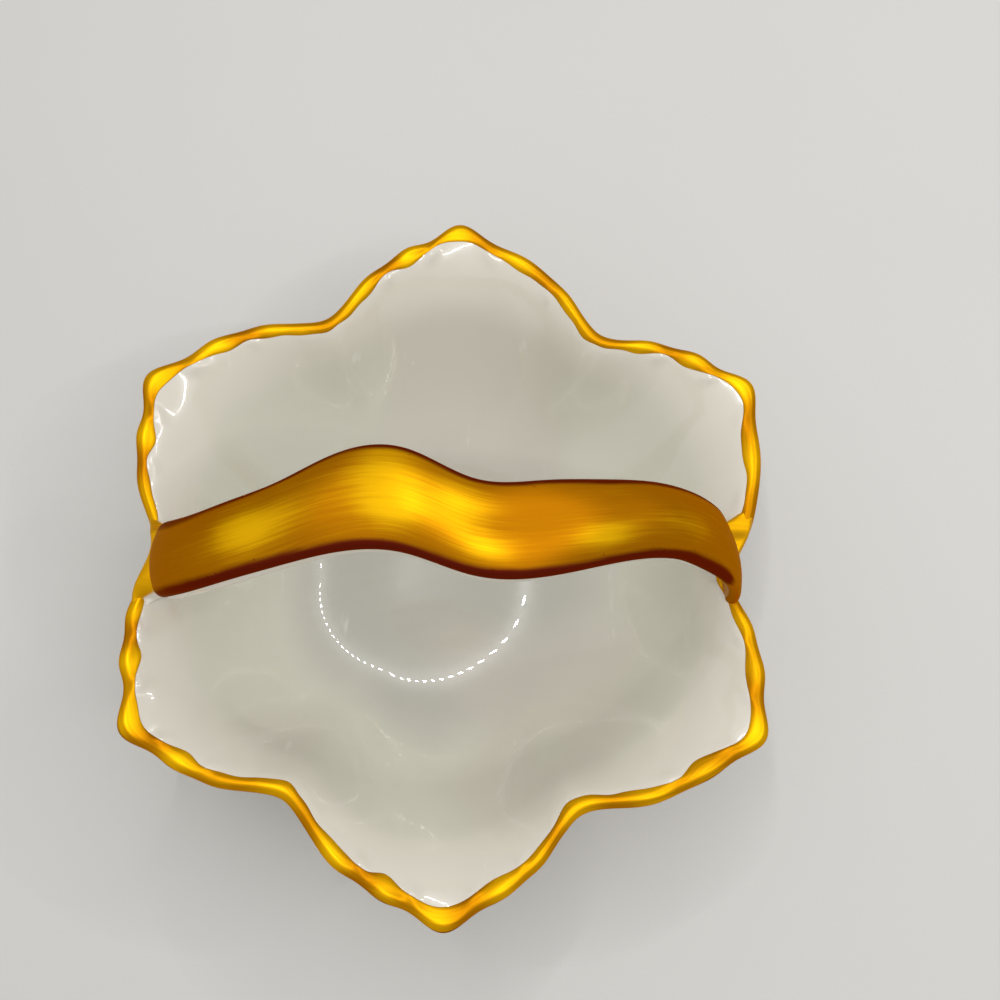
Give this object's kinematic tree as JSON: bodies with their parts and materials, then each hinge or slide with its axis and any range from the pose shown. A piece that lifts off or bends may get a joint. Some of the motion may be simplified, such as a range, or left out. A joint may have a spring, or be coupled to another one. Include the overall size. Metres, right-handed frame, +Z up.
{
  "type": "ring dish",
  "caption": "Small glazed porcelain ring dish shaped as a petal-edged basket, with a gilded scalloped rim and a wavy gilded strap handle over the bowl.",
  "frame": {"origin": "on the table, under the middle of the bowl", "axes": "+Z up, X along the handle's arch, Y across it through two opposite petal points"},
  "size_m": [0.0892, 0.1018, 0.0618],
  "materials": {
    "glazed_porcelain": "gloss",
    "bisque_porcelain": "matte",
    "satin_gold": "satin"
  },
  "bodies": {
    "root": {"dish_bowl": "glazed_porcelain", "foot_ring": "bisque_porcelain", "handle_strap": "glazed_porcelain", "handle_gilding": "satin_gold", "left_handle_joint": "glazed_porcelain", "right_handle_joint": "glazed_porcelain", "back_rim_gilding": "satin_gold", "front_rim_gilding": "satin_gold"}
  },
  "joints": []
}
